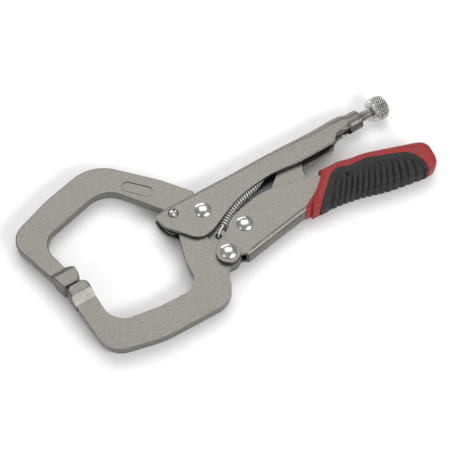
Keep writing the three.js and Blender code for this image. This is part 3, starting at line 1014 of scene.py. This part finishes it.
def grip_normal(v, w, half):
    """The section's outward direction, as (y, z)."""
    normal_y = np.sign(v) * np.abs(v) ** (SECTION_POWER - 1) / half
    normal_z = np.sign(w) * np.abs(w) ** (SECTION_POWER - 1) / GRIP_HALF
    size = np.sqrt(normal_y**2 + normal_z**2) + 1e-9
    return normal_y / size, normal_z / size


def make_overmould():
    """The black cover: a smooth border, a fine groove and slanted ribs, round the lower edge."""
    along, across = 420, 150
    xs = np.linspace(PANEL_START, PANEL_END, along)
    q = np.linspace(-1, 1, across)
    grid_x, grid_q = np.meshgrid(xs, q, indexing="ij")
    middle = (GRIP_TOP(grid_x) + GRIP_BOTTOM(grid_x)) / 2
    half = (GRIP_TOP(grid_x) - GRIP_BOTTOM(grid_x)) / 2
    v_top = np.clip((PANEL_TOP(grid_x) - middle) / half, -0.995, 0.9)
    top_angle = np.arcsin(np.clip(np.sign(v_top) * np.abs(v_top) ** (SECTION_POWER / 2), -1, 1))
    angle = -math.pi / 2 + np.abs(grid_q) * (top_angle + math.pi / 2)
    s, c = np.sin(angle), np.cos(angle)
    v = np.sign(s) * np.abs(s) ** (2 / SECTION_POWER)
    w = np.sign(grid_q) * np.abs(c) ** (2 / SECTION_POWER)
    y = middle + v * half
    z = w * GRIP_HALF
    rise = (PANEL_TOP(grid_x + 0.2) - PANEL_TOP(grid_x - 0.2)) / 0.4
    edge = np.abs(PANEL_TOP(grid_x) - y) / np.sqrt(1 + rise**2)
    near_edge = np.minimum(edge, np.minimum(grid_x - PANEL_START, PANEL_END - grid_x) * 3)
    lean = grid_x - RIB_LEAN(grid_x) * (y + 42.0)
    wave = zigzag((lean - 70.0) / RIB_PITCH)
    rib = 1 - np.exp(-((wave / 0.2) ** 1.6))
    inside = np.clip((near_edge - BORDER) / 0.5, 0, 1)
    lift = 0.62 * np.clip(near_edge / 0.9, 0, 1) ** 0.5
    lift = lift - 0.6 * np.exp(-(((near_edge - BORDER_GROOVE) / 0.42) ** 2))
    lift = lift + inside * (0.95 * rib + 0.15 * wave - 1.0)
    normal_y, normal_z = grip_normal(v, w, half)
    outer = np.stack([grid_x, y + lift * normal_y, z + lift * normal_z], axis=2)
    inner = np.stack([grid_x, y - 1.1 * normal_y, z - 1.1 * normal_z], axis=2)
    rings = np.concatenate([outer, inner[:, ::-1]], axis=1)
    cover = grid_mesh("grip_overmould_ribbed", rings)
    put_away(cover, "handle_body", BLACK, "black_rubber", "grip_overmould", smooth=60.0)


# ---------------------------------------------------------------- assembly
make_fixed_jaw()
make_moving_jaw()
make_upper_handle()
make_lower_handle()
make_link()
make_rivet("main_pivot_head", MAIN_PIVOT, "upper_body", "main_pivot_rivet")
make_rivet("jaw_pivot_head", JAW_PIVOT, "handle_body", "jaw_pivot_rivet", CHANNEL_HALF + EAR_RAISED)
make_rivet("link_pivot_head", LINK_PIVOT, "handle_body", "link_pivot_rivet")
make_staking_pin()
make_spring()
make_screw()
make_knob()
make_grip_sleeve()
make_overmould()


# ---------------------------------------------------------------- floor, light, camera
def make_floor():
    bpy.ops.mesh.primitive_plane_add(size=6, location=(0, 0, 0))
    floor = bpy.context.object
    floor.name = "studio_floor"
    material, tree, shader = node_material("studio_floor")
    shader.inputs["Roughness"].default_value = 0.9
    shader.inputs["Specular IOR Level"].default_value = 0.1
    paper = object_noise(tree, 3.0, 2.0, 0.5)
    colour = ramp(tree, paper.outputs["Fac"], [(0.3, grey(0.88)), (0.7, grey(0.9))])
    tree.links.new(colour.outputs["Color"], shader.inputs["Base Color"])
    floor.data.materials.append(material)


def area_light(name, place, size, power):
    """A soft light at a place, in metres, aimed at the middle of the floor."""
    light = bpy.data.lights.new(name, "AREA")
    light.shape = "RECTANGLE"
    light.size, light.size_y = size
    light.energy = power
    lamp = bpy.data.objects.new(name, light)
    lamp.location = place
    aim = -Vector(place)
    lamp.rotation_euler = aim.to_track_quat("-Z", "Y").to_euler()
    bpy.context.scene.collection.objects.link(lamp)


def make_lights():
    world = bpy.data.worlds.new("studio")
    world.use_nodes = True
    back = world.node_tree.nodes["Background"]
    back.inputs["Color"].default_value = (1.0, 1.0, 1.0, 1.0)
    back.inputs["Strength"].default_value = 0.42
    bpy.context.scene.world = world
    area_light("overhead", (0.25, 0.45, 1.1), (1.2, 0.9), 8.6)
    area_light("front", (0.25, -0.85, 0.72), (0.8, 0.28), 7.5)
    area_light("back", (0.25, 1.1, 0.22), (1.0, 0.2), 3.0)
    area_light("side", (-1.0, -0.1, 0.6), (0.3, 0.6), 1.6)


# The photograph's viewing angle; the frame's width covers VIEW_WIDTH at the tool.
AZIMUTH = math.radians(-31.7)
ELEVATION = math.radians(62.0)
LENS = 110.0
SENSOR = 36.0
VIEW_WIDTH = 309.7 * MM


def make_camera():
    data = bpy.data.cameras.new("camera")
    data.lens = LENS
    data.sensor_width = SENSOR
    camera = bpy.data.objects.new("camera", data)
    back = Vector((
        math.sin(AZIMUTH) * math.cos(ELEVATION),
        -math.cos(AZIMUTH) * math.cos(ELEVATION),
        math.sin(ELEVATION),
    ))
    target = Vector((PIVOT.x + 6.8 * MM, PIVOT.y - 18.2 * MM, MIDDLE_Z + 7 * MM))
    distance = VIEW_WIDTH * LENS / SENSOR
    camera.location = target + back * distance
    camera.rotation_euler = back.to_track_quat("Z", "Y").to_euler()
    data.clip_end = 20
    bpy.context.scene.collection.objects.link(camera)
    bpy.context.scene.camera = camera


make_floor()
make_lights()
make_camera()
bpy.context.scene.view_settings.view_transform = "Standard"
